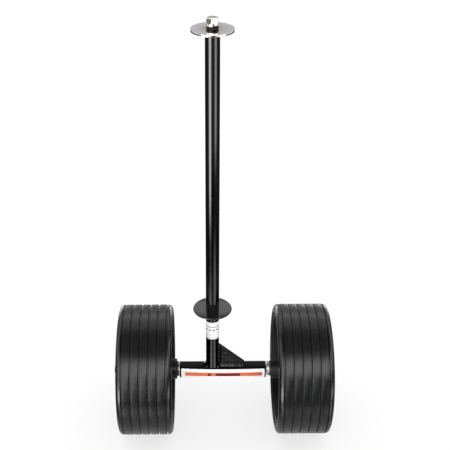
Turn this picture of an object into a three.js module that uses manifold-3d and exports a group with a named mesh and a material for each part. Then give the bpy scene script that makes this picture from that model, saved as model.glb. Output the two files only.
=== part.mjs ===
// Swivel leg of a trailer jack: an upright pole with a seat flange and a bolted retaining disc,
// standing on a square axle tube that carries two wide ribbed wheels. Millimetres, +Z up,
// axle along X. The origin is on the pole's axis, at the top face of the seat flange.
import * as THREE from 'three';
import { mergeVertices } from 'three/addons/utils/BufferGeometryUtils.js';
import Module from 'manifold-3d';

// ---- Driving dimensions ----
const touch = 0.3; // gap left between pieces that touch

const wheelRadius = 127;
const wheelWidth = 104;
const wheelTrack = 304; // between the middles of the two wheels
const poleOffset = 22.5; // the pole stands this far left of the middle of the axle

const seatAboveAxle = 146;
const poleRadius = 12.7;
const poleWall = 3;

const discRadius = 36.75;
const discThickness = 3.3;
const discTopZ = 545;
const flangeThickness = 3.3;

const tubeSide = 25;
const tubeWall = 2.5;
const tubeCorner = 4;
const tubeLength = 170;
const tubeMiddleX = 20.4;
const axleRadius = 7.95;
const axleClearance = 0.05; // the tube hangs on the axle by its inner top wall

const boltAcrossFlats = 19;
const boltHeadHeight = 8;
const boltShankRadius = 5.9;
const boltLength = 35;
const boltTurn = -0.14; // radians the head stands turned from a corner facing front
const plugLength = 28;
const spacerHeight = 5.6;
const spacerRadius = 10.25;
const lockWasherRadius = 10.7;
const lockWasherThickness = 3.2;
const lockWasherRise = 1.2; // how far the split ends stand apart

const gussetReach = 50;
const gussetRise = 50;
const gussetNose = 7.5;
const gussetThickness = 5;
const gussetWeldLeg = 5;
const baseWeldLeg = 7.5;
const flangeWeldLeg = 4;

const poleLabelTopZ = -26.6;
const poleLabelHeight = 39;
const labelThickness = 0.25;
const axleLabelLength = 167;
const axleLabelHeight = 19.5;

// Wheel, measured from its own middle along the axle; "inner" is the end nearer the pole.
const tyreBoreRadius = 108;
const shoulderRadius = 9;
const grooveSpacing = 16.6;
const grooveDepth = 3;
const grooveHalfWidth = 1.1;
const rimLipRadius = 112;
const rimBarrelRadius = 102;
const rimHalfWidth = 46;
const rimLipThickness = 3.5;
const webThickness = 8;
const hubRadius = 20.5;
const hubBoreRadius = 11.3;
const hubInnerEnd = 59.5;
const hubOuterEnd = 41.5;
const ribCount = 8;
const ribThickness = 6;
const ribHeight = 4; // above the web
const ribRootHeight = 14; // above the web, where a rib meets the hub
const ribKneeRadius = 45; // from here outwards a rib is low
const bushFlangeRadius = 15;
const bushFlangeThickness = 2.5;
const bushSleeveLength = 25;
const bushBoreRadius = 8.3;

const washerRadius = 14;
const washerThickness = 2.3;
const nutAcrossFlats = 24;
const nutHeight = 15;
const threadEndBeyondNut = 1.8;

// ---- Derived places ----
const axleZ = -seatAboveAxle;
const tubeInner = tubeSide - 2 * tubeWall;
const tubeMiddleZ = axleZ + axleRadius + axleClearance - tubeInner / 2;
const tubeTopZ = tubeMiddleZ + tubeSide / 2;
const tubeEndX = { left: tubeMiddleX - tubeLength / 2, right: tubeMiddleX + tubeLength / 2 };
const discBottomZ = discTopZ - discThickness;
const wheelMiddleX = { left: poleOffset - wheelTrack / 2, right: poleOffset + wheelTrack / 2 };
const bossInnerFace = hubInnerEnd + bushFlangeThickness;
const bossOuterFace = hubOuterEnd + bushFlangeThickness;
const nutInnerFace = bossOuterFace + washerThickness + 2 * touch;
const axleReach = nutInnerFace + nutHeight + threadEndBeyondNut;

// ---- Finishes ----
const finishes = {
  paint: { color: 0x0b0b0c, roughness: 0.25, metalness: 0.1 },
  chrome: { color: 0xc9c8c4, roughness: 0.18, metalness: 1 },
  steel: { color: 0xa9a9a6, roughness: 0.4, metalness: 1 },
  tread: { color: 0x1a1b1c, roughness: 0.55, metalness: 0 },
  rim: { color: 0x101112, roughness: 0.45, metalness: 0 },
  nylon: { color: 0x1c1c1e, roughness: 0.5, metalness: 0 },
  vinyl: { color: 0xf1f1ef, roughness: 0.4, metalness: 0 },
};

const wasm = await Module();
wasm.setup();

const part = new THREE.Group();

function addPiece(name, finish, geometry, parent = part) {
  const mesh = new THREE.Mesh(geometry, new THREE.MeshStandardMaterial(finishes[finish]));
  mesh.name = name;
  parent.add(mesh);
  return mesh;
}

// ---- Solids ----
function toSolid(geometry) {
  const bare = geometry.clone();
  bare.deleteAttribute('normal');
  bare.deleteAttribute('uv');
  const merged = mergeVertices(bare, 1e-4);
  return new wasm.Manifold(new wasm.Mesh({
    numProp: 3,
    vertProperties: new Float32Array(merged.attributes.position.array),
    triVerts: new Uint32Array(merged.index.array),
  }));
}

function toGeometry(solid) {
  const mesh = solid.getMesh();
  const geometry = new THREE.BufferGeometry();
  geometry.setAttribute('position', new THREE.BufferAttribute(mesh.vertProperties, 3));
  geometry.setIndex(new THREE.BufferAttribute(mesh.triVerts, 1));
  geometry.computeVertexNormals();
  return geometry;
}

// Turns a closed outline of [radius, height] points round the Z axis, with flat-sided steps.
function turned(outline, segments) {
  const points = outline.map(([r, z]) => new THREE.Vector2(r, z));
  if (outline[0][0] > 0) points.push(points[0].clone());
  return new THREE.LatheGeometry(points, segments).rotateX(Math.PI / 2);
}

// A washer or sleeve: outer radius, inner radius, from z0 to z1.
function ring(outer, inner, z0, z1, segments, chamfer = 0) {
  const outline = [[inner, z0], [outer - chamfer, z0]];
  if (chamfer) outline.push([outer, z0 + chamfer], [outer, z1 - chamfer]);
  outline.push([outer - chamfer, z1], [inner, z1]);
  return turned(outline, segments);
}

function prism(points, depth) {
  const shape = new THREE.Shape(points.map(([x, y]) => new THREE.Vector2(x, y)));
  return new THREE.ExtrudeGeometry(shape, { depth, bevelEnabled: false });
}

function box(low, high) {
  const size = high.map((value, i) => value - low[i]);
  const middle = high.map((value, i) => (value + low[i]) / 2);
  return new THREE.BoxGeometry(...size).translate(...middle);
}

// A hexagon nut or bolt head whose corners are taken off by a cone, with an optional bore.
function hexagon(acrossFlats, height, bore) {
  const corner = acrossFlats / Math.sqrt(3);
  const chamfer = 0.13 * height;
  const blank = new THREE.CylinderGeometry(corner, corner, height, 6).rotateX(Math.PI / 2)
    .translate(0, 0, height / 2);
  const cone = turned([[0, 0], [corner + 1, 0], [corner + 1, height - chamfer],
    [acrossFlats / 2 - 0.3, height], [0, height]], 24);
  const solid = toSolid(blank).intersect(toSolid(cone));
  if (!bore) return toGeometry(solid);
  const hole = new THREE.CylinderGeometry(bore, bore, 3 * height, 24).rotateX(Math.PI / 2);
  return toGeometry(solid.subtract(toSolid(hole)));
}

// ---- Pole, its end plug and what is bolted on top ----
function buildPole() {
  addPiece('pole_tube', 'paint', ring(poleRadius, poleRadius - poleWall, tubeTopZ, discBottomZ, 40));
  const plugRadius = poleRadius - poleWall - touch;
  const plug = ring(plugRadius, boltShankRadius + touch, discBottomZ - plugLength, discBottomZ, 24);
  addPiece('pole_end_plug', 'steel', plug);
}

// The split ring is extruded flat and then lifted steadily round from one end to the other.
function splitWasher() {
  const inner = boltShankRadius + 0.5;
  const halfSplit = 0.11;
  const shape = new THREE.Shape();
  shape.absarc(0, 0, lockWasherRadius, halfSplit, 2 * Math.PI - halfSplit, false);
  shape.absarc(0, 0, inner, 2 * Math.PI - halfSplit, halfSplit, true);
  const geometry = new THREE.ExtrudeGeometry(shape, {
    depth: lockWasherThickness, bevelEnabled: false, curveSegments: 18,
  });
  const position = geometry.attributes.position;
  for (let i = 0; i < position.count; i++) {
    const angle = Math.atan2(position.getY(i), position.getX(i));
    const turn = (angle < 0 ? angle + 2 * Math.PI : angle) / (2 * Math.PI);
    position.setZ(i, position.getZ(i) + lockWasherRise * (1 - turn));
  }
  return geometry.rotateZ(-1.35);
}

function buildTopHardware() {
  const hole = boltShankRadius + 0.5;
  const disc = ring(discRadius, hole, discBottomZ, discTopZ, 48, 0.6);
  addPiece('retaining_disc', 'chrome', disc);
  const spacerTopZ = discTopZ + spacerHeight;
  addPiece('top_spacer', 'steel', ring(spacerRadius, hole, discTopZ, spacerTopZ, 24, 0.4));
  addPiece('top_lock_washer', 'chrome', splitWasher().translate(0, 0, spacerTopZ));
  const headZ = spacerTopZ + lockWasherThickness + lockWasherRise + touch;
  const shank = new THREE.CylinderGeometry(boltShankRadius, boltShankRadius, boltLength + 1, 24)
    .rotateX(Math.PI / 2).translate(0, 0, -(boltLength - 1) / 2);
  const head = toSolid(hexagon(boltAcrossFlats, boltHeadHeight).rotateZ(boltTurn));
  addPiece('top_bolt', 'chrome', toGeometry(head.add(toSolid(shank))).translate(0, 0, headZ));
}

// ---- Seat flange and the round welds ----
// A fillet bead round the pole; it tapers upwards from z0, or downwards when rise is negative.
function fillet(innerRadius, leg, rise, z0) {
  const outline = [[innerRadius, z0], [innerRadius + leg, z0], [innerRadius, z0 + rise]];
  return turned(rise < 0 ? outline.reverse() : outline, 40);
}

function buildFlangeAndBaseWeld() {
  addPiece('seat_flange', 'paint', ring(discRadius, poleRadius + touch, -flangeThickness, 0, 48, 0.5));
  const underFlange = fillet(poleRadius + touch, flangeWeldLeg, -flangeWeldLeg, -flangeThickness);
  addPiece('flange_weld', 'paint', toGeometry(toSolid(underFlange)));
  const flat = tubeSide / 2 - 0.6;
  const bead = toSolid(fillet(poleRadius + touch, baseWeldLeg, baseWeldLeg, tubeTopZ));
  const kept = box([-40, -flat, tubeTopZ - 1], [0, flat, tubeTopZ + 20]);
  addPiece('pole_base_weld', 'paint', toGeometry(bead.intersect(toSolid(kept))));
}

// ---- Axle tube, gusset and the gusset's welds ----
function buildAxleTube() {
  const half = tubeSide / 2;
  const section = new THREE.Shape();
  const corners = [[1, 1], [-1, 1], [-1, -1], [1, -1]];
  corners.forEach(([sx, sy], i) => {
    const start = i * Math.PI / 2;
    section.absarc(sx * (half - tubeCorner), sy * (half - tubeCorner), tubeCorner,
      start, start + Math.PI / 2, false);
  });
  const inner = tubeInner / 2;
  section.holes.push(new THREE.Path(corners.map(([sx, sy]) => (
    new THREE.Vector2(sx * inner, sy * inner)))));
  const tube = new THREE.ExtrudeGeometry(section, {
    depth: tubeLength, bevelEnabled: false, curveSegments: 5,
  });
  tube.rotateY(Math.PI / 2).translate(tubeEndX.left, 0, tubeMiddleZ);
  addPiece('axle_tube', 'paint', tube);
}

function buildGusset() {
  const footX = poleRadius + touch;
  const outline = [[0, 0], [gussetReach, 0], [gussetReach, gussetNose], [1, gussetRise], [0, gussetRise]];
  const plate = prism(outline, gussetThickness).rotateX(Math.PI / 2)
    .translate(footX, gussetThickness / 2, tubeTopZ);
  addPiece('gusset_plate', 'paint', plate);
  const weldStart = gussetThickness / 2 + touch;
  const leg = gussetWeldLeg;
  for (const [side, sign] of [['front', -1], ['back', 1]]) {
    // Up the pole: a three-sided bar whose back follows the pole's round side.
    const upright = [[footX + 0.1, sign * weldStart], [footX + leg - 1, sign * weldStart],
      [footX - 1.4, sign * (weldStart + leg - 1)]];
    if (sign < 0) upright.reverse();
    const bar = prism(upright.reverse(), gussetRise - leg - 3).translate(0, 0, tubeTopZ + leg + 1);
    addPiece(`gusset_pole_weld_${side}`, 'paint', bar);
    // Along the foot: a three-sided bar lying on the tube's top.
    const foot = [[0, 0], [leg, 0], [0, leg]];
    const lying = prism(foot, gussetReach - leg).rotateX(Math.PI / 2).rotateZ(Math.PI / 2);
    if (sign < 0) lying.applyMatrix4(new THREE.Matrix4().makeRotationZ(Math.PI))
      .translate(gussetReach - leg, 0, 0);
    lying.translate(footX + leg, sign * weldStart, tubeTopZ);
    addPiece(`gusset_foot_weld_${side}`, 'paint', lying);
  }
}

// ---- Labels ----
function buildLabels() {
  const inner = poleRadius + 0.1;
  const bottomZ = poleLabelTopZ - poleLabelHeight;
  const wrap = ring(inner + labelThickness, inner, bottomZ, poleLabelTopZ, 40);
  addPiece('pole_label', 'vinyl', wrap);
  const y = -tubeSide / 2 - 0.05;
  const halfLength = axleLabelLength / 2;
  const halfHeight = axleLabelHeight / 2;
  addPiece('axle_label', 'vinyl', box(
    [tubeMiddleX - halfLength, y - labelThickness, tubeMiddleZ - halfHeight],
    [tubeMiddleX + halfLength, y, tubeMiddleZ + halfHeight],
  ));
}

// ---- Axle and the hardware on it ----
// A group whose local +Z points away from the pole along the axle, at the given wheel's middle.
function axleGroup(side) {
  const group = new THREE.Group();
  group.position.set(wheelMiddleX[side], 0, axleZ);
  group.rotation.y = side === 'left' ? -Math.PI / 2 : Math.PI / 2;
  part.add(group);
  return group;
}

function buildAxle() {
  const ends = [wheelMiddleX.left - axleReach, wheelMiddleX.right + axleReach];
  const chamfer = 1.2;
  const bar = turned([[0, ends[0]], [axleRadius - chamfer, ends[0]], [axleRadius, ends[0] + chamfer],
    [axleRadius, ends[1] - chamfer], [axleRadius - chamfer, ends[1]], [0, ends[1]]], 32);
  addPiece('axle_shaft', 'steel', bar.rotateY(Math.PI / 2).translate(0, 0, axleZ));
}

function axleWasher(z0) {
  return ring(washerRadius, axleRadius + touch, z0, z0 + washerThickness, 24);
}

function buildAxleHardware(side) {
  const group = axleGroup(side);
  const innerWasherZ = -bossInnerFace - touch - washerThickness;
  addPiece(`${side}_inner_washer`, 'steel', axleWasher(innerWasherZ), group);
  addPiece(`${side}_outer_washer`, 'steel', axleWasher(bossOuterFace + touch), group);
  const nut = hexagon(nutAcrossFlats, nutHeight, axleRadius + touch).translate(0, 0, nutInnerFace);
  addPiece(`${side}_lock_nut`, 'steel', nut, group);
  if (side === 'right') {
    const shimZ = innerWasherZ - washerThickness - touch;
    addPiece('right_shim_washer', 'steel', axleWasher(shimZ), group);
  }
}

// ---- Wheels ----
// One shoulder arc of the tread, from the side face round to the rolling surface or back.
function shoulder(side) {
  const centre = { r: wheelRadius - shoulderRadius, x: side * (wheelWidth / 2 - shoulderRadius) };
  const steps = 3;
  return Array.from({ length: steps + 1 }, (_, i) => {
    const angle = (side < 0 ? i : steps - i) * Math.PI / 2 / steps;
    return [centre.r + shoulderRadius * Math.sin(angle), centre.x + side * shoulderRadius * Math.cos(angle)];
  });
}

function tyreOutline() {
  const outline = [[rimLipRadius + touch, -wheelWidth / 2], ...shoulder(-1)];
  for (let i = -2.5; i <= 2.5; i++) {
    const x = i * grooveSpacing;
    outline.push([wheelRadius, x - grooveHalfWidth], [wheelRadius - grooveDepth, x],
      [wheelRadius, x + grooveHalfWidth]);
  }
  outline.push(...shoulder(1), [rimLipRadius + touch, wheelWidth / 2]);
  const step = rimHalfWidth - touch;
  outline.push([rimLipRadius + touch, step], [tyreBoreRadius, step],
    [tyreBoreRadius, -step], [rimLipRadius + touch, -step]);
  return outline;
}

// The ring under the tyre, with a lip at each edge that keeps the tyre on.
function rimOutline() {
  const lip = rimHalfWidth + rimLipThickness;
  const seat = tyreBoreRadius - touch;
  return [
    [rimBarrelRadius, -lip], [rimLipRadius, -lip], [rimLipRadius, -rimHalfWidth], [seat, -rimHalfWidth],
    [seat, rimHalfWidth], [rimLipRadius, rimHalfWidth], [rimLipRadius, lip], [rimBarrelRadius, lip],
  ];
}

// The hub and the flat web round it.
function discOutline() {
  const edge = rimBarrelRadius - touch;
  const web = webThickness / 2;
  return [
    [hubBoreRadius, -hubInnerEnd], [hubRadius - 1, -hubInnerEnd], [hubRadius, -hubInnerEnd + 1],
    [hubRadius, -web], [edge, -web], [edge, web], [hubRadius, web],
    [hubRadius, hubOuterEnd - 1], [hubRadius - 1, hubOuterEnd], [hubBoreRadius, hubOuterEnd],
  ];
}

function wheelDisc() {
  let disc = toSolid(turned(discOutline(), 36));
  const [inside, outside] = [hubRadius - 4, rimBarrelRadius - 2];
  const [root, knee, tip] = [ribRootHeight, ribHeight + 1, ribHeight].map((h) => h + webThickness / 2);
  const ribOutline = [[inside, -root], [ribKneeRadius, -knee], [outside, -tip],
    [outside, tip], [ribKneeRadius, knee], [inside, root]];
  const rib = prism(ribOutline, ribThickness).rotateX(Math.PI / 2).translate(0, ribThickness / 2, 0);
  for (let i = 0; i < ribCount; i++) {
    disc = disc.add(toSolid(rib.clone().rotateZ((i + 0.5) * 2 * Math.PI / ribCount)));
  }
  return toGeometry(disc);
}

// A flanged bush: its flange bears on the hub's end face and its sleeve goes into the bore.
function bush(faceZ, inward) {
  const flangeBack = faceZ + inward * bushFlangeThickness;
  const sleeveEnd = flangeBack + inward * bushSleeveLength;
  const outline = [[bushBoreRadius, faceZ], [bushFlangeRadius, faceZ], [bushFlangeRadius, flangeBack],
    [hubBoreRadius - touch, flangeBack], [hubBoreRadius - touch, sleeveEnd], [bushBoreRadius, sleeveEnd]];
  if (inward < 0) outline.reverse();
  return turned(outline, 24);
}

function buildWheel(side) {
  const group = axleGroup(side);
  addPiece(`${side}_tyre`, 'tread', turned(tyreOutline(), 36), group);
  addPiece(`${side}_wheel_rim`, 'rim', turned(rimOutline(), 36), group);
  addPiece(`${side}_wheel_disc`, 'rim', wheelDisc(), group);
  addPiece(`${side}_inner_bush`, 'nylon', bush(-bossInnerFace, 1), group);
  addPiece(`${side}_outer_bush`, 'nylon', bush(bossOuterFace, -1), group);
}

buildPole();
buildTopHardware();
buildFlangeAndBaseWeld();
buildAxleTube();
buildGusset();
buildLabels();
buildAxle();
for (const side of ['left', 'right']) {
  buildAxleHardware(side);
  buildWheel(side);
}

export default part;
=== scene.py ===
"""The looks of the twin-wheel leg of a trailer jack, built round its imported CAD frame. Metres, +Z up."""
import math
import random

import bmesh
import bpy
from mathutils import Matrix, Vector


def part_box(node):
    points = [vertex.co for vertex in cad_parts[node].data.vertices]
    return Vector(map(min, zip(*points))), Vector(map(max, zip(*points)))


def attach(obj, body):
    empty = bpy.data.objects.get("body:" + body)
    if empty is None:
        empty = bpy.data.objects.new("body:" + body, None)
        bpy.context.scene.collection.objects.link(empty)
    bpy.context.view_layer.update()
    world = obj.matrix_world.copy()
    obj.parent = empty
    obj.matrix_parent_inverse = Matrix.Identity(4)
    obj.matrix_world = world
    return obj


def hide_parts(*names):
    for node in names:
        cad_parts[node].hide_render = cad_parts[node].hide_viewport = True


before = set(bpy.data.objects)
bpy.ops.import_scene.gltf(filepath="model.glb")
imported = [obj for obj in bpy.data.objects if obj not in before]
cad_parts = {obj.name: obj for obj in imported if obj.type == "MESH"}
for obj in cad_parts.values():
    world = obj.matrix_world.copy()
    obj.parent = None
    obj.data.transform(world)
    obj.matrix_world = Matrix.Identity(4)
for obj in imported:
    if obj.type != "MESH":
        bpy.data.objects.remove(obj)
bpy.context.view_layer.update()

MM = 0.001
TAU = 2 * math.pi
BOLT_BORE_R = 6.4 * MM


# ---- Places and sizes taken from the CAD frame ----
def span(node, axis):
    """Lowest and highest value of a CAD node along x, y or z."""
    low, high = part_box(node)
    return getattr(low, axis), getattr(high, axis)


def size(node, axis):
    low, high = span(node, axis)
    return high - low


def middle(node, axis):
    return sum(span(node, axis)) / 2


FLOOR_Z = span("left_tyre", "z")[0]
AXLE_Z = middle("left_tyre", "z")
AXLE_R = size("axle_shaft", "z") / 2
POLE_R = size("pole_tube", "x") / 2
POLE_BORE_R = POLE_R - 3 * MM
TUBE_TOP = span("axle_tube", "z")[1]
TUBE_MIDDLE_Z = middle("axle_tube", "z")
TUBE_HALF = size("axle_tube", "y") / 2
TUBE_CORNER = 4 * MM
TUBE_WALL = 2.5 * MM
SIDES = {"left": -1, "right": 1}
BOW_MIDDLE = middle("axle_label", "x") + 5 * MM
BOW_LOW = -0.5 * MM
BOW_LEFT, BOW_RIGHT = 2.6 * MM, 1.3 * MM


def label_bow(x):
    """How far up the axle label's film is at this x: its ends were stuck on a little higher."""
    left, right = span("axle_label", "x")
    rise, reach = (BOW_LEFT, left - BOW_MIDDLE) if x < BOW_MIDDLE else (BOW_RIGHT, right - BOW_MIDDLE)
    return BOW_LOW + rise * ((x - BOW_MIDDLE) / reach) ** 2


# ---- Node trees ----
class Graph:
    """Short calls for building a node tree."""

    def __init__(self, tree):
        self.tree = tree
        tree.nodes.clear()

    def node(self, kind, settings=None, **inputs):
        made = self.tree.nodes.new("ShaderNode" + kind)
        for key, value in (settings or {}).items():
            setattr(made, key, value)
        for key, value in inputs.items():
            self.feed(made.inputs[key.replace("_", " ")], value)
        return made

    def feed(self, socket, value):
        if isinstance(value, bpy.types.NodeSocket):
            self.tree.links.new(value, socket)
        else:
            socket.default_value = value

    def math(self, operation, *values):
        made = self.node("Math", {"operation": operation})
        for socket, value in zip(made.inputs, values):
            self.feed(socket, value)
        return made.outputs[0]

    def times(self, first, second):
        return self.math("MULTIPLY", first, second)

    def mixed(self, first, share, second):
        """The two values added, this share of the first and the rest of the second."""
        return self.math("ADD", self.times(first, share), self.times(second, 1 - share))

    def step(self, value, edge, soft):
        """0 below the edge, 1 above it, smooth over twice the softness."""
        made = self.node("MapRange", {"interpolation_type": "SMOOTHSTEP"}, Value=value)
        made.inputs["From Min"].default_value = edge - soft
        made.inputs["From Max"].default_value = edge + soft
        return made.outputs[0]

    def window(self, value, low, high, soft):
        """1 between low and high, 0 outside."""
        rising = self.step(value, low, soft)
        falling = self.math("SUBTRACT", 1, self.step(value, high, soft))
        return self.times(rising, falling)

    def span(self, value, low, high):
        """Rescales a 0 to 1 value to run from low to high."""
        made = self.node("MapRange", Value=value)
        made.inputs["To Min"].default_value = low
        made.inputs["To Max"].default_value = high
        return made.outputs[0]

    def noise(self, vector, scale, detail=2.0, rough=0.5):
        return self.node("TexNoise", Vector=vector, Scale=scale, Detail=detail, Roughness=rough).outputs[0]

    def tint(self, amount, first, second):
        """Mixes two colours, which may be sockets."""
        made = self.node("Mix", {"data_type": "RGBA"})
        self.feed(made.inputs[0], amount)
        for socket, colour in ((made.inputs[6], first), (made.inputs[7], second)):
            self.feed(socket, colour if isinstance(colour, bpy.types.NodeSocket) else (*colour, 1))
        return made.outputs[2]

    def bump(self, height, distance, strength):
        return self.node("Bump", Height=height, Distance=distance, Strength=strength).outputs[0]


class Finish(Graph):
    """A material with one Principled shader and the piece's own coordinates."""

    def __init__(self, name, **fixed):
        self.material = bpy.data.materials.new(name)
        self.material.use_nodes = True
        super().__init__(self.material.node_tree)
        self.shader = self.node("BsdfPrincipled", **fixed)
        output = self.node("OutputMaterial")
        self.tree.links.new(self.shader.outputs[0], output.inputs[0])
        self.place = self.node("TexCoord").outputs["Object"]
        self.x, self.y, self.z = self.node("SeparateXYZ", Vector=self.place).outputs

    def stretched(self, x, y, z):
        """The piece's coordinates scaled by a different amount along each axis."""
        return self.node("Mapping", Vector=self.place, Scale=(x, y, z)).outputs[0]

    def set(self, **inputs):
        for key, value in inputs.items():
            self.feed(self.shader.inputs[key.replace("_", " ")], value)
        return self


# ---- Materials ----
def paint():
    """Gloss black powder coat: deep black, a faint orange peel and uneven gloss."""
    g = Finish("black_powder_coat", IOR=1.5)
    cloud = g.noise(g.place, 28, 3)
    g.set(Base_Color=g.tint(cloud, (0.0005, 0.0005, 0.0005), (0.0012, 0.0012, 0.0012)))
    fine = g.noise(g.place, 900, 2)
    g.set(Roughness=g.span(g.mixed(cloud, 0.7, fine), 0.06, 0.16))
    peel = g.noise(g.place, 330, 1.5)
    g.set(Normal=g.bump(peel, 0.00005, 0.5))
    return g.material


def tube_paint():
    """The same coat on the axle tube with a tenth of its gloss reflection: flatter and blacker."""
    g = Finish("flat_black_coat", IOR=1.5)
    g.shader.inputs["Specular IOR Level"].default_value = 0.05
    cloud = g.noise(g.place, 60, 3)
    g.set(Base_Color=g.tint(cloud, (0.0012, 0.0012, 0.0012), (0.0034, 0.0034, 0.0034)))
    peel = g.noise(g.place, 420, 2)
    g.set(Roughness=g.span(cloud, 0.16, 0.30), Normal=g.bump(peel, 0.00005, 0.6))
    return g.material


def weld_paint():
    """The same coat over a weld: uneven gloss and a lumpy skin."""
    g = Finish("black_coat_over_weld", IOR=1.5)
    grain = g.noise(g.place, 240, 1.5)
    g.set(Base_Color=g.tint(grain, (0.0008, 0.0008, 0.0008), (0.0030, 0.0029, 0.0027)))
    g.set(Roughness=g.span(grain, 0.06, 0.20), Normal=g.bump(grain, 0.0008, 0.6))
    return g.material


def gusset_paint():
    """The same coat over the spatter beside the welds: pitted and unevenly glossy."""
    g = Finish("black_coat_over_spatter", IOR=1.5)
    cloud = g.noise(g.place, 130, 1.5)
    pits = g.noise(g.place, 420, 1.5)
    g.set(Base_Color=g.tint(cloud, (0.0004, 0.0004, 0.0004), (0.0030, 0.0029, 0.0027)))
    skin = g.mixed(cloud, 0.9, pits)
    g.set(Roughness=g.span(cloud, 0.06, 0.20), Normal=g.bump(skin, 0.0020, 0.7))
    return g.material


def plating(name, dark, light, hub=None):
    """Bright plating with faint turning rings round the pole's axis. If a hub colour is given, the colour
    goes darker towards the middle: a painted reflection of the dark bolt and collar.
    """
    g = Finish(name, Metallic=1.0)
    radius = g.math("SQRT", g.math("ADD", g.times(g.x, g.x), g.times(g.y, g.y)))
    rings = g.noise(g.node("CombineXYZ", X=g.times(radius, 3800), Y=0.0, Z=0.0).outputs[0], 1, 2)
    cloud = g.noise(g.place, 60, 3)
    colour = g.tint(cloud, dark, light)
    if hub:
        # Painted reflection: towards the axis the plating takes the hub colour, standing in for the dark
        # bolt and collar it mirrors.
        colour = g.tint(g.step(radius, 16 * MM, 15 * MM), hub, colour)
    g.set(Base_Color=colour, Roughness=g.span(g.times(cloud, rings), 0.05, 0.19))
    g.set(Normal=g.bump(rings, 0.00001, 0.35))
    return g.material


def dark_collar_finish():
    """Dark steel, far darker than the plating beside it, with faint turning rings."""
    g = Finish("dark_collar_steel", Metallic=1.0)
    rings = g.noise(g.stretched(60, 60, 4000), 1, 2)
    cloud = g.noise(g.place, 200, 3)
    g.set(Base_Color=g.tint(cloud, (0.012, 0.010, 0.009), (0.050, 0.045, 0.040)))
    g.set(Roughness=g.span(rings, 0.12, 0.26), Normal=g.bump(rings, 0.00001, 0.4))
    return g.material


def zinc():
    """Satin zinc: small crystals of slightly different shade."""
    g = Finish("satin_zinc", Metallic=1.0)
    crystals = g.node("TexVoronoi", Vector=g.place, Scale=900).outputs["Distance"]
    cloud = g.noise(g.place, 150, 2)
    g.set(Base_Color=g.tint(cloud, (0.56, 0.56, 0.545), (0.74, 0.735, 0.70)))
    g.set(Roughness=g.span(g.math("ADD", g.times(crystals, 0.5), cloud), 0.16, 0.42))
    g.set(Normal=g.bump(crystals, 0.00002, 0.3))
    return g.material


def turned_steel():
    """Plain turned bar: fine rings round the axle."""
    g = Finish("turned_steel", Metallic=1.0)
    rings = g.noise(g.stretched(5200, 90, 90), 1, 2)
    cloud = g.noise(g.place, 70, 3)
    g.set(Base_Color=g.tint(cloud, (0.44, 0.435, 0.42), (0.60, 0.595, 0.58)))
    g.set(Roughness=g.span(rings, 0.18, 0.38), Normal=g.bump(rings, 0.00001, 0.5))
    return g.material


def tread():
    """Moulded black tread: fine running lines round the wheel, a grain, and a dusting in the pores."""
    g = Finish("moulded_tread", IOR=1.5)
    lines = g.noise(g.stretched(2600, 26, 26), 1, 2, 0.6)
    streaks = g.noise(g.stretched(520, 7, 7), 1, 3, 0.6)
    grain = g.noise(g.place, 1500, 3, 0.6)
    cloud = g.noise(g.place, 26, 4, 0.55)
    skin = g.mixed(lines, 0.45, grain)
    uneven = g.mixed(cloud, 0.22, streaks)
    g.set(Base_Color=g.tint(uneven, (0.0008, 0.0009, 0.0010), (0.0038, 0.0042, 0.0044)))
    g.set(Roughness=g.span(uneven, 0.16, 0.36))
    g.set(Normal=g.bump(skin, 0.00020, 0.5))
    return g.material


def wheel_plastic():
    """Moulded wheel body: satin black with a spark-eroded grain."""
    g = Finish("moulded_wheel_plastic", IOR=1.46)
    g.shader.inputs["Specular IOR Level"].default_value = 0.3
    grain = g.noise(g.place, 1800, 3, 0.6)
    cloud = g.noise(g.place, 35, 3)
    g.set(Base_Color=g.tint(cloud, (0.0020, 0.0020, 0.0021), (0.0042, 0.0042, 0.0043)))
    g.set(Roughness=g.span(cloud, 0.32, 0.48), Normal=g.bump(grain, 0.00012, 0.4))
    return g.material


def nylon(name, dark, light):
    """Waxy bush or insert plastic."""
    g = Finish(name, IOR=1.53)
    cloud = g.noise(g.place, 240, 2)
    g.set(Base_Color=g.tint(cloud, dark, light))
    g.set(Roughness=g.span(cloud, 0.28, 0.42), Normal=g.bump(cloud, 0.00004, 0.3))
    return g.material


def film(name, white):
    """White label film: faint cloud, slight ripple. Returns the finish and its plain white."""
    g = Finish(name, IOR=1.48)
    cloud = g.noise(g.place, 90, 3)
    ripple = g.noise(g.stretched(90, 90, 160), 1, 2)
    g.set(Roughness=g.span(cloud, 0.22, 0.36), Normal=g.bump(ripple, 0.00015, 0.25))
    return g, g.tint(cloud, (0.97 * white, 0.97 * white, 0.97 * white), (white, white, white))


def pole_label_film():
    """Two thin dark rings round the white film, the lower one a row of dashes, and grey-blue crease lines
    painted on its lower part as painted shade.
    """
    # The white here, 0.80, is below the axle film's 0.95: painted shade that offsets the stronger light
    # falling on the pole.
    g, white = film("pole_label_film", 0.80)
    top = span("pole_label", "z")[1]
    upper = g.window(g.z, top - 11.2 * MM, top - 9.7 * MM, 0.25 * MM)
    lower = g.window(g.z, top - 18.8 * MM, top - 16.2 * MM, 0.3 * MM)
    angle = g.math("ARCTAN2", g.x, g.times(g.y, -1))
    dashes_round = 11
    dashes = g.step(g.math("SINE", g.times(angle, dashes_round)), -0.35, 0.2)
    # Painted shade: short grey-blue streaks below the top 20 mm of the film, standing in for the shade in
    # its crease lines.
    crease_shade_mask = g.step(g.noise(g.stretched(50, 50, 520), 1, 2), 0.56, 0.10)
    below = g.math("SUBTRACT", 1, g.step(g.z, top - 20 * MM, 1 * MM))
    strength = g.times(g.times(crease_shade_mask, below), 0.55)
    crease_shaded_white = g.tint(strength, white, (0.40, 0.40, 0.44))
    with_upper = g.tint(upper, crease_shaded_white, (0.09, 0.09, 0.10))
    g.set(Base_Color=g.tint(g.times(lower, dashes), with_upper, (0.03, 0.03, 0.035)))
    return g.material


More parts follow.
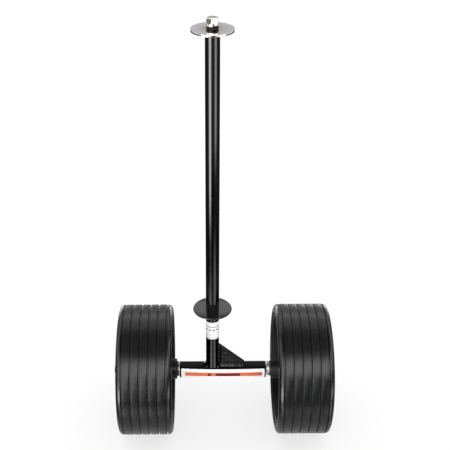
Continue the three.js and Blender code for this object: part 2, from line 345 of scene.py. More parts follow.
def axle_label_film():
    """White film with a plain orange band, which holds a square and a bar in dark red."""
    g, white = film("axle_label_film", 0.95)
    left, right = span("axle_label", "x")
    low, _ = span("axle_label", "z")
    off = g.math("SUBTRACT", g.x, BOW_MIDDLE)
    to_left = g.math("DIVIDE", g.math("MINIMUM", off, 0), left - BOW_MIDDLE)
    to_right = g.math("DIVIDE", g.math("MAXIMUM", off, 0), right - BOW_MIDDLE)
    bow = g.math("ADD", g.times(g.times(to_left, to_left), BOW_LEFT),
                 g.times(g.times(to_right, to_right), BOW_RIGHT))
    height = g.math("SUBTRACT", g.z, g.math("ADD", bow, low + BOW_LOW))
    soft = 0.3 * MM
    band = g.times(g.window(g.x, left + 8.5 * MM, right - 6 * MM, soft),
                   g.window(height, 2.4 * MM, 11.2 * MM, soft))
    redder = g.step(g.x, right - 22 * MM, 14 * MM)
    patch = g.noise(g.place, 120, 2)
    orange = g.tint(redder, (0.70, 0.130, 0.040), (0.52, 0.060, 0.040))
    orange = g.tint(g.times(patch, 0.25), orange, (0.80, 0.25, 0.09))
    inner = g.window(height, 3.0 * MM, 9.2 * MM, soft)
    square = g.window(g.x, left + 54 * MM, left + 60 * MM, soft)
    bar = g.window(g.x, left + 69.5 * MM, left + 117 * MM, soft)
    marks = g.times(inner, g.math("MAXIMUM", square, bar))
    printed = g.tint(marks, orange, (0.125, 0.003, 0.004))
    g.set(Base_Color=g.tint(band, white, printed))
    return g.material


def studio_floor():
    """Pale floor: part of its white is its own glow, so the shade under the wheels stays soft."""
    g = Finish("studio_floor", Roughness=0.9)
    cloud = g.noise(g.place, 3, 2)
    g.set(Base_Color=g.tint(cloud, (0.160, 0.160, 0.160), (0.164, 0.164, 0.164)))
    g.shader.inputs["Specular IOR Level"].default_value = 0.0
    g.set(Emission_Color=(1, 1, 1, 1), Emission_Strength=0.71)
    return g.material


FINISHES = {
    "black_paint": paint(),
    "bright_plating": plating("bright_plating", (0.80, 0.79, 0.745), (0.88, 0.865, 0.84)),
    "zinc_steel": zinc(),
    "plain_steel": turned_steel(),
    "tread_rubber": tread(),
    "wheel_plastic": wheel_plastic(),
    "bush_nylon": nylon("black_nylon", (0.010, 0.010, 0.011), (0.020, 0.020, 0.021)),
    "pole_label_vinyl": pole_label_film(),
    "axle_label_vinyl": axle_label_film(),
}
TUBE_FINISH = tube_paint()
WELD_FINISH = weld_paint()
GUSSET_FINISH = gusset_paint()
# The third colour here is a painted reflection: it darkens the disc towards its middle, where it would
# mirror the dark bolt and collar.
DISC_FINISH = plating("disc_plating", (0.80, 0.77, 0.745), (0.95, 0.92, 0.90), (0.46, 0.44, 0.42))
BOLT_FINISH = plating("bolt_plating", (0.80, 0.79, 0.64), (0.88, 0.87, 0.74))
COLLAR_FINISH = dark_collar_finish()
INSERT_FINISH = nylon("pale_nylon", (0.52, 0.53, 0.50), (0.66, 0.67, 0.64))


# ---- Meshes ----
def rounded(corners, closed=True):
    """The outline through (a, b, radius) corners, each corner with a radius turned into an arc."""
    arc_step = math.radians(18)
    points = []
    count = len(corners)
    for i, corner in enumerate(corners):
        here = Vector(corner[:2])
        radius = corner[2] if len(corner) > 2 else 0
        if not radius or (not closed and i in (0, count - 1)):
            points.append(here)
            continue
        back = (Vector(corners[i - 1][:2]) - here).normalized()
        ahead = (Vector(corners[(i + 1) % count][:2]) - here).normalized()
        half = back.angle(ahead) / 2
        centre = here + (back + ahead).normalized() * radius / math.sin(half)
        reach = radius / math.tan(half)
        first = here + back * reach - centre
        turn = (here + ahead * reach - centre).angle_signed(first)
        parts = max(2, round(abs(turn) / arc_step))
        for k in range(parts + 1):
            angle = turn * k / parts
            cos, sin = math.cos(angle), math.sin(angle)
            points.append(centre + Vector((cos * first.x - sin * first.y, sin * first.x + cos * first.y)))
    return points


def loft(bm, rings, close_ends=None):
    """Joins closed rings of points with faces. close_ends is "loop", to join the last ring to the first,
    or "caps"."""
    rows = [[bm.verts.new(point) for point in ring] for ring in rings]
    pairs = list(zip(rows, rows[1:]))
    if close_ends == "loop":
        pairs.append((rows[-1], rows[0]))
    for row, following in pairs:
        count = len(row)
        for i in range(count):
            j = (i + 1) % count
            bm.faces.new((row[i], row[j], following[j], following[i]))
    if close_ends == "caps":
        for row in (rows[0], rows[-1]):
            bm.faces.new(row)


def piece(name, bm, finish, body, nodes=(), sharp=32):
    """Turns the mesh into a finished piece that rides on a body and stands for some CAD nodes."""
    bmesh.ops.remove_doubles(bm, verts=bm.verts, dist=1e-7)
    bmesh.ops.recalc_face_normals(bm, faces=bm.faces)
    mesh = bpy.data.meshes.new(name)
    bm.to_mesh(mesh)
    bm.free()
    mesh.shade_smooth()
    mesh.set_sharp_from_angle(angle=math.radians(sharp))
    made = bpy.data.objects.new(name, mesh)
    bpy.context.scene.collection.objects.link(made)
    mesh.materials.append(finish)
    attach(made, body)
    if nodes:
        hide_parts(*nodes)
    return made


def fitted(name, bm, slot, body, nodes, finish=None, sharp=32):
    """A piece in its slot's own finish, unless another is given."""
    return piece(name, bm, finish or FINISHES[slot], body, nodes, sharp)


def turned(corners, segments, axis="z", centre=(0, 0, 0), way=1):
    """A solid turned about an axis through centre, from an outline of (radius, height, fillet) corners."""
    outline = rounded(corners)
    bm = bmesh.new()
    rings = []
    for k in range(segments):
        angle = TAU * k / segments
        cos, sin = math.cos(angle), math.sin(angle)
        if axis == "z":
            ring = [(r * cos, r * sin, h) for r, h in outline]
        else:
            ring = [(way * h, r * cos, r * sin) for r, h in outline]
        rings.append([Vector(point) + Vector(centre) for point in ring])
    loft(bm, rings, close_ends="loop")
    return bm


# ---- Pole and what is bolted on it ----
def make_pole():
    low, high = span("pole_tube", "z")
    corners = [(POLE_BORE_R, low), (POLE_R, low), (POLE_R, high, 0.5 * MM), (POLE_BORE_R, high, 0.3 * MM)]
    fitted("pole", turned(corners, 128), "black_paint", "frame", ["pole_tube"])


def make_retaining_disc():
    radius = size("retaining_disc", "x") / 2
    low, high = span("retaining_disc", "z")
    edge = 0.55 * MM
    corners = [(BOLT_BORE_R, low, 0.3 * MM), (radius, low, edge),
               (radius, high, edge), (BOLT_BORE_R, high, 0.3 * MM)]
    bm = turned(corners, 160)
    fitted("top_disc", bm, "bright_plating", "frame", ["retaining_disc"], DISC_FINISH)


def make_spacer():
    low, high = span("top_spacer", "z")
    radius = size("top_spacer", "x") / 2
    corners = [(BOLT_BORE_R, low), (radius, low, 0.4 * MM), (radius, high, 0.4 * MM), (BOLT_BORE_R, high)]
    bm = turned(corners, 96)
    # The collar's slot is bright plating, but it is drawn in this dark steel.
    fitted("spacer_collar", bm, "bright_plating", "frame", ["top_spacer"], COLLAR_FINISH)


def make_lock_washer():
    """One turn of square spring wire; its split ends are cut on a slant and stand apart."""
    low, high = span("top_lock_washer", "z")
    thick = 3.2 * MM
    rise = high - low - thick
    outer = size("top_lock_washer", "x") / 2
    section = rounded([(BOLT_BORE_R, 0, 0.3 * MM), (outer, 0, 0.35 * MM),
                       (outer, thick, 0.35 * MM), (BOLT_BORE_R, thick, 0.3 * MM)])
    split_at, half_split, slant = -1.35, 0.10, 0.16
    bm = bmesh.new()
    rings = []
    steps = 96
    for k in range(steps + 1):
        part = k / steps
        along = half_split + part * (TAU - 2 * half_split)
        ring = []
        for r, h in section:
            angle = split_at + along + slant * (h / thick - 0.5)
            ring.append((r * math.cos(angle), r * math.sin(angle), low + h + rise * (1 - part)))
        rings.append(ring)
    loft(bm, rings, close_ends="caps")
    fitted("split_washer", bm, "bright_plating", "frame", ["top_lock_washer"])


def hexagon_ring(flat_radius, corner_radius, turn):
    """Directions and radii round a hexagon with rounded corners. Before turning, one flat is at angle 0."""
    tangent = (flat_radius - corner_radius) * math.tan(math.pi / 6)
    reach = (flat_radius - corner_radius) / math.cos(math.pi / 6)
    ring = []
    for side in range(6):
        for degrees in (-30, -29.4, -28.8, -28, -26, -20, -10, 0, 10, 20, 26, 28, 28.8, 29.4):
            off = math.radians(degrees)
            if flat_radius * math.tan(abs(off)) > tangent:
                away = math.pi / 6 - abs(off)
                drop = reach * math.sin(away)
                radius = reach * math.cos(away) + math.sqrt(max(corner_radius ** 2 - drop ** 2, 0))
            else:
                radius = flat_radius / math.cos(off)
            ring.append((turn + math.radians(60 * side - 60) + off, radius))
    return ring


def even_level(directions, radius, height):
    """A round ring of the same radius and height in every direction."""
    return [(radius, height)] * len(directions)


def hexagon_levels(directions, flat_radius, low, high, chamfer_low, chamfer_high):
    """The rings of a hexagon's sides from low to high. Each chamfer is 1 where that end's corners are
    taken off, or 0."""
    cut = 0.95 * flat_radius
    slope = math.tan(math.pi / 6)
    drop = [(radius - cut) * slope for _, radius in directions]
    levels = []
    if chamfer_low:
        levels.append(even_level(directions, cut, low))
    levels.append([(r, low + chamfer_low * d) for (_, r), d in zip(directions, drop)])
    levels.append([(r, high - chamfer_high * d) for (_, r), d in zip(directions, drop)])
    if chamfer_high:
        levels.append(even_level(directions, cut, high))
    return levels


def level_rings(directions, levels, place):
    """Points for each level, where place turns an angle, a radius and a height into a point."""
    return [[place(angle, radius, height) for (angle, _), (radius, height) in zip(directions, level)]
            for level in levels]


def about_pole(angle, radius, height):
    return Vector((radius * math.sin(angle), -radius * math.cos(angle), height))


def thread_levels(directions, radius, start, end, pitch, depth):
    """Ridges and valleys of a thread, as level rings from start up to end."""
    levels = []
    for i in range(int((end - start) / pitch)):
        z = start + i * pitch
        levels.append(even_level(directions, radius, z + 0.1 * pitch))
        levels.append(even_level(directions, radius - depth, z + 0.5 * pitch))
        levels.append(even_level(directions, radius, z + 0.9 * pitch))
    return levels


def make_bolt():
    low, high = span("top_bolt", "z")
    head_low = high - 8 * MM
    flat_radius, shank_r = 9.5 * MM, 5.9 * MM
    washer_face_r, washer_face = 0.93 * flat_radius, 0.5 * MM
    plain_shank, pitch, depth = 12 * MM, 1.75 * MM, 0.9 * MM
    turn = math.pi / 6 - 0.14
    directions = hexagon_ring(flat_radius, 0.5 * MM, turn)
    levels = [even_level(directions, 0, low), even_level(directions, shank_r - 1 * MM, low)]
    levels += thread_levels(directions, shank_r, low + 1 * MM, head_low - plain_shank, pitch, depth)
    levels.append(even_level(directions, shank_r, head_low))
    levels.append(even_level(directions, washer_face_r, head_low))
    levels.append(even_level(directions, washer_face_r, head_low + washer_face))
    levels += hexagon_levels(directions, flat_radius, head_low + washer_face, high - 0.15 * MM, 0, 1)
    levels.append(even_level(directions, 0.90 * flat_radius, high))
    levels.append(even_level(directions, 0, high))
    bm = bmesh.new()
    loft(bm, level_rings(directions, levels, about_pole))
    fitted("top_bolt_fine", bm, "bright_plating", "frame", ["top_bolt"], BOLT_FINISH, 22)


def make_seat_flange():
    radius = size("seat_flange", "x") / 2
    low, high = span("seat_flange", "z")
    inner = POLE_R - 0.2 * MM
    corners = [(inner, low), (radius, low, 1.0 * MM), (radius, high, 2.0 * MM), (inner, high)]
    fitted("seat_plate", turned(corners, 160), "black_paint", "frame", ["seat_flange"])


# ---- Weld beads ----
def bead(rows, pitch=2.4 * MM, ripple=0.08, bulge=0.10):
    """A fillet weld along rows of (root, toe on one piece, toe on the other), with uneven crescent ripples.
    The root is where the two pieces meet. Ripple and bulge are shares of the weld's leg."""
    across = 10
    dice = random.Random(len(rows))
    bm = bmesh.new()
    rings = []
    phase, pace, height = 0.0, 1.0, 1.0
    lag = 0.35
    previous = None
    for root, toe_a, toe_b in rows:
        root, toe_a, toe_b = Vector(root), Vector(toe_a), Vector(toe_b)
        phase += pace * (root - previous).length / pitch if previous else 0
        previous = root
        if phase >= 1:
            phase -= 1
            pace, height = dice.uniform(0.75, 1.35), dice.uniform(0.55, 1.45)
        outward = ((toe_a - root) + (toe_b - root)).normalized()
        leg = ((toe_a - root).length + (toe_b - root).length) / 2
        ring = []
        for i in range(across + 1):
            t = i / across
            arch = math.sin(math.pi * t)
            wave = -0.5 * math.cos(TAU * (phase + lag * arch))
            lift = leg * (bulge * arch + ripple * height * wave * math.sqrt(arch))
            ring.append(toe_a.lerp(toe_b, t) + outward * lift)
        ring.append(root - outward * 0.1 * leg)
        rings.append(ring)
    loft(bm, rings, close_ends="caps")
    return bm


def tapered(part):
    """Leg size along a bead, as a share of its full size: it starts and ends small."""
    stretch, smallest = 0.06, 0.25
    rise = min(1, part / stretch)
    fall = min(1, (1 - part) / stretch)
    return smallest + (1 - smallest) * math.sqrt(max(0, min(rise, fall)))


def tube_surface(y):
    """Height of the axle tube's outside at this y, over its top and down its rounded corner."""
    flat = TUBE_HALF - TUBE_CORNER
    beyond = min(abs(y) - flat, TUBE_CORNER)
    if beyond <= 0:
        return TUBE_TOP
    return TUBE_TOP - TUBE_CORNER + math.sqrt(max(TUBE_CORNER ** 2 - beyond ** 2, 0))


def foot_bead(start, end, steps, leg):
    """A bead round the pole's foot between two angles, which are measured from +X towards +Y.
    Its lower toe stays on the tube."""
    reach = TUBE_HALF - 1.2 * MM
    rows = []
    for k in range(steps + 1):
        part = k / steps
        angle = start + part * (end - start)
        direction = Vector((math.cos(angle), math.sin(angle), 0))
        here = leg * tapered(part)
        toe = direction * (POLE_R + here)
        toe.y = max(-reach, min(reach, toe.y))
        toe.z = tube_surface(toe.y)
        root = direction * POLE_R
        root.z = tube_surface(root.y)
        upper = direction * POLE_R + Vector((0, 0, TUBE_TOP + 0.9 * here))
        rows.append((root, toe, upper))
    return rows


def straight_bead(start, end, towards_a, towards_b, leg):
    """A bead along a straight root, with a toe set off in each of two directions."""
    step = 0.35 * MM
    start, end = Vector(start), Vector(end)
    towards_a, towards_b = Vector(towards_a).normalized(), Vector(towards_b).normalized()
    steps = int((end - start).length / step)
    rows = []
    for k in range(steps + 1):
        part = k / steps
        root = start.lerp(end, part)
        here = leg * tapered(part)
        rows.append((root, root + towards_a * here, root + towards_b * here))
    return rows


def weld(name, bm, nodes):
    fitted(name, bm, "black_paint", "frame", nodes, WELD_FINISH)


def make_gusset_welds(name, sign):
    """On one face of the gusset: beside its foot round the pole, up the pole, and along its foot."""
    leg = 5 * MM
    half = size("gusset_plate", "y") / 2
    far, top = span("gusset_plate", "x")[1], span("gusset_plate", "z")[1]
    from_gusset, to_front = 0.42, 0.80
    rows = foot_bead(sign * from_gusset, sign * to_front, 60, 4 * MM)
    weld(f"foot_weld_right_{name}", bead(rows, ripple=0.04), [])
    root_x = math.sqrt(POLE_R ** 2 - half ** 2)
    tangent = Vector((-half / root_x, sign, 0))
    rows = straight_bead((root_x, sign * half, TUBE_TOP + 2 * MM), (root_x, sign * half, top - 1 * MM),
                         (1, 0, 0), tangent, leg)
    weld(f"gusset_upright_weld_{name}", bead(rows, 7 * MM, 0.20), [f"gusset_pole_weld_{name}"])
    rows = straight_bead((POLE_R + 1 * MM, sign * half, TUBE_TOP),
                         (far - 0.5 * MM, sign * half, TUBE_TOP), (0, sign, 0), (0, 0, 1), leg)
    weld(f"gusset_foot_weld_{name}_fine", bead(rows, 5 * MM, 0.22), [f"gusset_foot_weld_{name}"])


def make_seat_weld():
    """A ring under the seat flange."""
    leg, steps = 3.9 * MM, 240
    low = span("seat_flange", "z")[0]
    rows = []
    for k in range(steps):
        angle = TAU * k / steps
        direction = Vector((math.cos(angle), math.sin(angle), 0))
        root = direction * POLE_R + Vector((0, 0, low))
        rows.append((root, root + direction * leg, root - Vector((0, 0, leg))))
    rows.append(rows[0])
    weld("seat_weld", bead(rows), ["flange_weld"])


def make_welds():
    spread = math.radians(44)
    rows = foot_bead(math.pi - spread, math.pi + spread, 150, 6.5 * MM)
    weld("foot_weld", bead(rows, ripple=0.03, bulge=0.02), ["pole_base_weld"])
    for name, sign in (("front", -1), ("back", 1)):
        make_gusset_welds(name, sign)
    make_seat_weld()


# ---- Axle tube, gusset and labels ----
def square_section(half, corner):
    """Points round a square with rounded corners, as (y, z) from its middle."""
    steps = 6
    points = []
    for i, (sy, sz) in enumerate(((1, 1), (-1, 1), (-1, -1), (1, -1))):
        for k in range(steps + 1):
            angle = (i + k / steps) * math.pi / 2
            points.append((sy * (half - corner) + corner * math.cos(angle),
                           sz * (half - corner) + corner * math.sin(angle)))
    return points


def make_axle_tube():
    low, high = span("axle_tube", "x")
    inner, inner_corner = TUBE_HALF - TUBE_WALL, TUBE_CORNER - TUBE_WALL
    edge = 0.4 * MM
    outside, inside = (TUBE_HALF, TUBE_CORNER), (inner, inner_corner)
    outer_rim, inner_rim = (TUBE_HALF - edge, TUBE_CORNER - edge), (inner + edge, inner_corner + edge)
    stations = [(low + edge, *outside), (high - edge, *outside), (high, *outer_rim), (high, *inner_rim),
                (high - edge, *inside), (low + edge, *inside), (low, *inner_rim), (low, *outer_rim)]
    bm = bmesh.new()
    rings = [[(x, y, TUBE_MIDDLE_Z + z) for y, z in square_section(half, corner)]
             for x, half, corner in stations]
    loft(bm, rings, close_ends="loop")
    fitted("axle_housing", bm, "black_paint", "frame", ["axle_tube"], TUBE_FINISH)


def make_gusset():
    low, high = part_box("gusset_plate")
    nose = 7.5 * MM
    root_x = math.sqrt(POLE_R ** 2 - high.y ** 2)
    outline = [(root_x, low.z), (high.x, low.z, 0.2 * MM), (high.x, low.z + nose, 1.5 * MM),
               (low.x + 1 * MM, high.z, 0.6 * MM), (root_x, high.z)]
    points = rounded(outline)
    bm = bmesh.new()
    edge = 0.5 * MM
    centre = sum(points, Vector((0, 0))) / len(points)
    rings = []
    for y, inset in ((low.y, edge), (low.y + edge, 0), (high.y - edge, 0), (high.y, edge)):
        ring = []
        for point in points:
            moved = point + (centre - point).normalized() * inset
            ring.append((moved.x, y, moved.y))
        rings.append(ring)
    loft(bm, rings, close_ends="caps")
    fitted("gusset", bm, "black_paint", "frame", ["gusset_plate"], GUSSET_FINISH)


def make_pole_label():
    """A strip of film wound once round the pole, its end lapping over its start at the back."""
    low, high = span("pole_label", "z")
    thick = 0.12 * MM
    bm = bmesh.new()
    rings = []
    start, sweep = math.pi / 2 - 0.3, TAU + 0.5
    lap_start, lap_rise = 0.88, 0.05
    steps = 150
    for k in range(steps + 1):
        part = k / steps
        angle = start + sweep * part
        lapped = max(0, min(1, (part - lap_start) / lap_rise))
        radius = POLE_R + 0.04 * MM + lapped * (thick + 0.02 * MM)
        cos, sin = math.cos(angle), math.sin(angle)
        rings.append([(r * cos, r * sin, z) for r, z in
                      ((radius, low), (radius + thick, low), (radius + thick, high), (radius, high))])
    loft(bm, rings, close_ends="caps")
    fitted("pole_film", bm, "pole_label_vinyl", "frame", ["pole_label"])


def make_axle_label():
    """A strip of film on the tube's front face, bowed a little, that wraps over its rounded edges."""
    left, right = span("axle_label", "x")
    left, right = left + 1.3 * MM, right - 1.3 * MM
    corner = 1.6 * MM
    flat = TUBE_HALF - TUBE_CORNER
    lift, thick = 0.04 * MM, 0.13 * MM
    up, down = 9.6 * MM, 12.0 * MM

    def on_tube(along, out):
        """The point this far up the film from its middle line, standing out from the tube."""
        beyond = abs(along) - flat
        if beyond <= 0:
            return -(TUBE_HALF + out), TUBE_MIDDLE_Z + along
        angle = beyond / TUBE_CORNER
        radius = TUBE_CORNER + out
        rise = flat + radius * math.sin(angle)
        return -(flat + radius * math.cos(angle)), TUBE_MIDDLE_Z + math.copysign(rise, along)

    round_steps, long_steps = 5, 60
    insets = [corner * (1 - math.cos(math.pi / 2 * k / round_steps)) for k in range(round_steps + 1)]
    between = right - left - 2 * corner
    columns = [left + d for d in insets]
    columns += [left + corner + between * k / long_steps for k in range(1, long_steps)]
    columns += [right - d for d in reversed(insets)]
    bm = bmesh.new()
    rings = []
    rows = 20
    for x in columns:
        near = min(x - left, right - x, corner)
        cut = corner - math.sqrt(max(corner ** 2 - (corner - near) ** 2, 0))
        low, high = cut - down, up - cut + label_bow(x)
        heights = [low + (high - low) * i / rows for i in range(rows + 1)]
        ring = [(x, *on_tube(h, lift)) for h in heights]
        ring += [(x, *on_tube(h, lift + thick)) for h in reversed(heights)]
        rings.append(ring)
    loft(bm, rings, close_ends="caps")
    fitted("axle_film", bm, "axle_label_vinyl", "frame", ["axle_label"])


# ---- Axle and its hardware ----
def make_axle():
    """A plain bar with a thread at each end."""
    low, high = span("axle_shaft", "x")
    pitch, depth, threaded = 1.5 * MM, 0.7 * MM, 19 * MM
    corners = [(0, low), (AXLE_R - 1.1 * MM, low, 0.2 * MM), (AXLE_R, low + 1.1 * MM)]
    turns = int(threaded / pitch)
    for i in range(turns):
        x = low + 1.3 * MM + i * pitch
        corners += [(AXLE_R, x), (AXLE_R - depth, x + pitch / 2), (AXLE_R, x + 0.9 * pitch)]
    mirrored = [(r, low + high - h, *rest) for r, h, *rest in reversed(corners)]
    bm = turned(corners + mirrored, 72, "x", (0, 0, AXLE_Z))
    fitted("axle_bar", bm, "plain_steel", "frame", ["axle_shaft"])


def make_washer(node):
    low, high = span(node, "x")
    radius, bore = size(node, "z") / 2, AXLE_R + 0.3 * MM
    outer, inner = 0.5 * MM, 0.2 * MM
    corners = [(bore, low, inner), (radius, low, outer), (radius, high, outer), (bore, high, inner)]
    fitted(node + "_fine", turned(corners, 96, "x", (0, 0, AXLE_Z)), "zinc_steel", "frame", [node])


def make_lock_nut(side, way):
    """A hexagon nut with a round collar at its outer end that grips a ring of nylon."""
    node = side + "_lock_nut"
    low, high = span(node, "x")
    face, end = (low, high) if way > 0 else (high, low)
    height = abs(end - face)
    flat_radius = size(node, "z") / 2
    bore = AXLE_R + 0.15 * MM
    collar = 0.90 * flat_radius
    hexagon_height = 0.70 * height
    insert_bore, insert_depth = collar - 1.6 * MM, 3.6 * MM

    def about_axle(angle, radius, along):
        return Vector((face + way * along, radius * math.sin(angle), AXLE_Z - radius * math.cos(angle)))

    directions = hexagon_ring(flat_radius, 0.6 * MM, math.pi / 6)
    levels = [even_level(directions, bore, 0)]
    levels += hexagon_levels(directions, flat_radius, 0, hexagon_height, 1, 1)
    outline = [(collar, hexagon_height), (collar, height, 1.6 * MM), (insert_bore, height, 0.4 * MM),
               (insert_bore, height - insert_depth), (bore, height - insert_depth)]
    levels += [even_level(directions, r, h) for r, h in rounded(outline, closed=False)]
    bm = bmesh.new()
    loft(bm, level_rings(directions, levels, about_axle), close_ends="loop")
    fitted(side + "_nut_fine", bm, "zinc_steel", "frame", [node], sharp=22)
    inner, outer = bore - 0.1 * MM, insert_bore - 0.05 * MM
    root, rim = height - 3.5 * MM, height - 0.7 * MM
    corners = [(inner, root), (outer, root), (outer, rim, 0.4 * MM), (inner, rim, 0.5 * MM)]
    insert = turned(corners, 72, "x", (face, 0, AXLE_Z), way)
    piece(side + "_nut_insert", insert, INSERT_FINISH, "frame", [])


# ---- Wheels ----
def wheel_middle(side):
    return (middle(side + "_tyre", "x"), 0, AXLE_Z)


def make_tyre(side, way):
    radius = size(side + "_tyre", "z") / 2
    half = size(side + "_tyre", "x") / 2
    lip = size(side + "_wheel_rim", "z") / 2 + 0.25 * MM
    bore = lip - 4.2 * MM
    step = 45.8 * MM
    grooves, spacing, depth = 6, 16.6 * MM, 4.2 * MM
    mouth, bottom, soft = 1.6 * MM, 1.1 * MM, 0.5 * MM

    def side_face(sign):
        """From the rim lip out to the shoulder, with a shallow ring pressed into the side."""
        face, sunk = sign * half, sign * (half - 0.9 * MM)
        return [(lip, face, 0.7 * MM), (lip + 1.6 * MM, face, 0.2 * MM),
                (lip + 2.0 * MM, sunk, 0.3 * MM), (lip + 3.4 * MM, sunk, 0.3 * MM),
                (lip + 3.8 * MM, face, 0.2 * MM), (radius, face, 9 * MM)]

    corners = side_face(-1)
    for i in range(grooves):
        x = (i - (grooves - 1) / 2) * spacing
        corners += [(radius, x - mouth, soft), (radius - depth, x - bottom, soft),
                    (radius - depth, x + bottom, soft), (radius, x + mouth, soft)]
    corners += reversed(side_face(1))
    seat = 0.3 * MM
    corners += [(lip, step, seat), (bore, step, seat), (bore, -step, seat), (lip, -step, seat)]
    bm = turned(corners, 192, "x", wheel_middle(side), way)
    fitted(side + "_tread", bm, "tread_rubber", side + "_wheel", [side + "_tyre"])


def make_rim(side, way):
    node = side + "_wheel_rim"
    lip_r = size(node, "z") / 2
    half = size(node, "x") / 2
    seat_r, barrel_r = lip_r - 4.4 * MM, lip_r - 10 * MM
    ledge = half - 3.5 * MM
    corners = [(barrel_r, -half, 1.2 * MM), (lip_r, -half, 1.2 * MM), (lip_r, -ledge, 0.4 * MM),
               (seat_r, -ledge, 0.5 * MM), (seat_r, ledge, 0.5 * MM), (lip_r, ledge, 0.4 * MM),
               (lip_r, half, 1.2 * MM), (barrel_r, half, 1.2 * MM)]
    bm = turned(corners, 160, "x", wheel_middle(side), way)
    fitted(side + "_rim", bm, "wheel_plastic", side + "_wheel", [node])


def rib_mesh(centre, way, angle, reach, heights, thick):
    """One rib through the disc: tall at the hub, low from its knee outwards, with rounded edges."""
    inside, knee, outside = reach
    root, low = heights
    corners = [(inside, -root), (knee, -low, 6 * MM), (outside, -low), (outside, low),
               (knee, low, 6 * MM), (inside, root)]
    outline = rounded(corners)
    edge = 0.9 * MM
    radial = Vector((0, math.cos(angle), math.sin(angle)))
    aside = Vector((0, -math.sin(angle), math.cos(angle)))
    bm = bmesh.new()
    rings = []
    half = thick / 2
    near = [(-half, edge), (-half + 0.3 * edge, 0.3 * edge), (-half + edge, 0)]
    far = [(-offset, inset) for offset, inset in reversed(near)]
    for offset, inset in near + far:
        rings.append([Vector(centre) + radial * r + aside * offset
                      + Vector((way * math.copysign(abs(h) - inset, h), 0, 0)) for r, h in outline])
    loft(bm, rings, close_ends="caps")
    bmesh.ops.recalc_face_normals(bm, faces=bm.faces)
    return bm


def as_object(name, bm):
    mesh = bpy.data.meshes.new(name)
    bm.to_mesh(mesh)
    bm.free()
    made = bpy.data.objects.new(name, mesh)
    bpy.context.scene.collection.objects.link(made)
    return made


def joined(base, additions):
    """The mesh of base with the additions welded on. All the objects it is given are used up."""
    bpy.context.view_layer.update()
    for addition in additions:
        union = base.modifiers.new("union", "BOOLEAN")
        union.operation = "UNION"
        union.solver = "EXACT"
        union.object = addition
    graph = bpy.context.evaluated_depsgraph_get()
    bm = bmesh.new()
    bm.from_mesh(base.evaluated_get(graph).to_mesh())
    for used in [base, *additions]:
        bpy.data.objects.remove(used)
    return bm


def make_disc(side, way):
    """Hub, web and ribs of the wheel, in one moulding."""
    node = side + "_wheel_disc"
    low, high = span(node, "x")
    centre = wheel_middle(side)
    ends = sorted((way * (low - centre[0]), way * (high - centre[0])))
    edge_r = size(node, "z") / 2 + 0.5 * MM
    hub_r, bore, web = 20.5 * MM, 11.3 * MM, 4 * MM
    corners = [(bore, ends[0], 0.6 * MM), (hub_r - 0.6 * MM, ends[0], 1.2 * MM), (hub_r, -web, 4 * MM),
               (edge_r, -web), (edge_r, web), (hub_r, web, 4 * MM),
               (hub_r - 0.6 * MM, ends[1], 1.2 * MM), (bore, ends[1], 0.6 * MM)]
    base_mesh = turned(corners, 144, "x", centre, way)
    bmesh.ops.recalc_face_normals(base_mesh, faces=base_mesh.faces)
    base = as_object("disc_base", base_mesh)
    ribs = []
    count, thick = 8, 6 * MM
    reach, heights = (16.5 * MM, 45 * MM, edge_r - 1.2 * MM), (18 * MM, 8.3 * MM)
    for i in range(count):
        angle = (i + 0.5) * TAU / count
        bm = rib_mesh(centre, way, angle, reach, heights, thick)
        ribs.append(as_object(f"rib_{i}", bm))
    fitted(side + "_disc", joined(base, ribs), "wheel_plastic", side + "_wheel", [node])


def make_bush(side, end):
    """A flanged bush pressed into one end of the hub."""
    node = f"{side}_{end}_bush"
    low, high = span(node, "x")
    centre_x = wheel_middle(side)[0]
    face, tip = (low, high) if abs(low - centre_x) > abs(high - centre_x) else (high, low)
    way = 1 if tip > face else -1
    length = abs(tip - face)
    flange_r, sleeve_r, bore = size(node, "z") / 2, 11.25 * MM, 8.3 * MM
    flange = 2.5 * MM
    corners = [(bore, 0, 0.5 * MM), (flange_r, 0, 0.6 * MM), (flange_r, flange, 0.2 * MM),
               (sleeve_r, flange), (sleeve_r, length, 0.5 * MM), (bore, length)]
    bm = turned(corners, 96, "x", (face, 0, AXLE_Z), way)
    fitted(node + "_fine", bm, "bush_nylon", side + "_wheel", [node])


def make_wheel(side, way):
    make_tyre(side, way)
    make_rim(side, way)
    make_disc(side, way)
    for end in ("inner", "outer"):
        make_bush(side, end)


# ---- Studio ----
def make_floor():
    bm = bmesh.new()
    reach = 30
    corners = [(-reach, -reach), (reach, -reach), (reach, reach), (-reach, reach)]
    bm.faces.new([bm.verts.new((x, y, FLOOR_Z)) for x, y in corners])
    floor = as_object("floor", bm)
    floor.data.materials.append(studio_floor())
    floor.visible_glossy = False


# Soft boxes that only reflections see: how bright, round (from, to, softness), up (from, to, softness).
# Round is degrees right of the front, and up is degrees above the horizon.
EVERYWHERE = (-200, 200, 1)
FRONT_BOXES = [
    (9.5, (-54, -22, 4), (-24.5, -3, 2.5)),
    (2.0, (-50, -18, 6), (-36, -30.5, 2)),
    (2.6, (-36, -12, 5), (-50, -36, 2)),
    (3.8, (33, 62, 4), (-19.5, -3, 2)),
    (2.0, (22, 56, 6), (-50, -28, 2.5)),
    (0.5, (-20, 20, 5), (-50, -31, 3)),
    (1.1, (-62, -5, 2), (-20, -3, 2)),
    (0.9, (17, 74, 2), (-19, -3, 2)),
    (2.8, (-60, -1, 5), (0, 50, 8)),
    (3.2, (-1, 60, 5), (24, 52, 7)),
    (0.5, EVERYWHERE, (-100, -50, 10)),
    (0.15, EVERYWHERE, (64, 100, 8)),
]
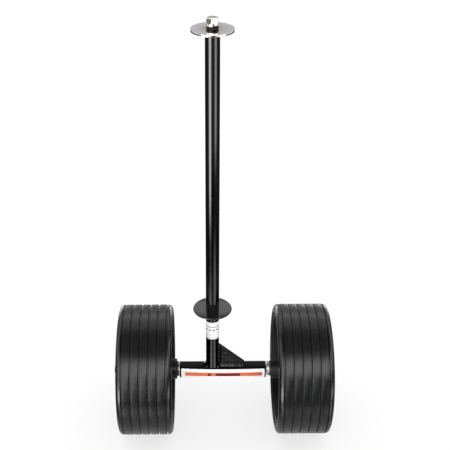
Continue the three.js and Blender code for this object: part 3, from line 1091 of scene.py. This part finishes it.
# The same on both sides, so round is degrees away from the front either way.
REAR_BOXES = [
    (0.15, (60, 98, 4), (-24, -3, 3)),
    (1.5, (66, 114, 8), (8, 50, 8)),
    (0.4, (150, 200, 5), (-50, -3, 3)),
    (0.5, (98, 200, 6), (4, 26, 4)),
    (1.6, (110, 200, 8), (28, 40, 3)),
    (0.8, (110, 200, 8), (40, 66, 5)),
    (3.0, (148, 172, 4), (-15, -2, 3)),
]


def reflected_studio(g):
    """Brightness of the dark studio and its soft boxes in each direction."""
    direction = g.node("TexCoord").outputs["Generated"]
    x, y, z = g.node("SeparateXYZ", Vector=direction).outputs
    azimuth = g.times(g.math("ARCTAN2", x, g.times(y, -1)), 360 / TAU)
    elevation = g.times(g.math("ARCSINE", z), 360 / TAU)
    aside = g.math("ABSOLUTE", azimuth)
    total = 0.045
    for where, boxes in ((azimuth, FRONT_BOXES), (aside, REAR_BOXES)):
        for bright, (first, last, soft), (low, high, edge) in boxes:
            patch = g.times(g.window(where, first, last, soft), g.window(elevation, low, high, edge))
            total = g.math("ADD", total, g.times(patch, bright))
    return g.node("CombineColor", Red=total, Green=total, Blue=total).outputs[0]


def make_light():
    """Even white light from all round, a dark studio with soft boxes in reflections, and a white ground."""
    world = bpy.data.worlds.new("studio")
    bpy.context.scene.world = world
    world.use_nodes = True
    world.cycles.sampling_method = "NONE"
    g = Graph(world.node_tree)
    path = g.node("LightPath").outputs
    reflected = g.node("Background", Color=reflected_studio(g))
    even = g.node("Background", Color=(1, 1, 1, 1), Strength=2.1)
    seen = g.node("Background", Color=(1, 1, 1, 1), Strength=1.0)
    lit = g.node("MixShader", Fac=path["Is Glossy Ray"])
    g.tree.links.new(even.outputs[0], lit.inputs[1])
    g.tree.links.new(reflected.outputs[0], lit.inputs[2])
    shown = g.node("MixShader", Fac=path["Is Camera Ray"])
    g.tree.links.new(lit.outputs[0], shown.inputs[1])
    g.tree.links.new(seen.outputs[0], shown.inputs[2])
    output = g.node("OutputWorld")
    g.tree.links.new(shown.outputs[0], output.inputs[0])
    bpy.context.scene.view_settings.view_transform = "Standard"


def make_camera():
    """In front of the pole and looking down at it; the shift sets the pole left of the middle."""
    distance, height, down = 1.440, 1.1416, math.radians(29.5)
    aside = math.radians(0.6)
    camera = bpy.data.objects.new("camera", bpy.data.cameras.new("camera"))
    bpy.context.scene.collection.objects.link(camera)
    camera.location = (-distance * math.sin(aside), -distance * math.cos(aside), AXLE_Z + height)
    camera.rotation_euler = (math.pi / 2 - down, 0, -aside)
    camera.data.lens = 73.2
    camera.data.sensor_width = 36
    camera.data.shift_x = 0.0278
    bpy.context.scene.camera = camera


make_camera()
make_floor()
make_light()
make_pole()
make_retaining_disc()
make_spacer()
make_lock_washer()
make_bolt()
make_seat_flange()
make_welds()
make_axle_tube()
make_gusset()
make_pole_label()
make_axle_label()
make_axle()
for washer in ("left_inner_washer", "left_outer_washer", "right_inner_washer", "right_outer_washer",
               "right_shim_washer"):
    make_washer(washer)
for side, way in SIDES.items():
    make_lock_nut(side, way)
    make_wheel(side, way)
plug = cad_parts["pole_end_plug"]
plug.data.materials.clear()
plug.data.materials.append(FINISHES["plain_steel"])
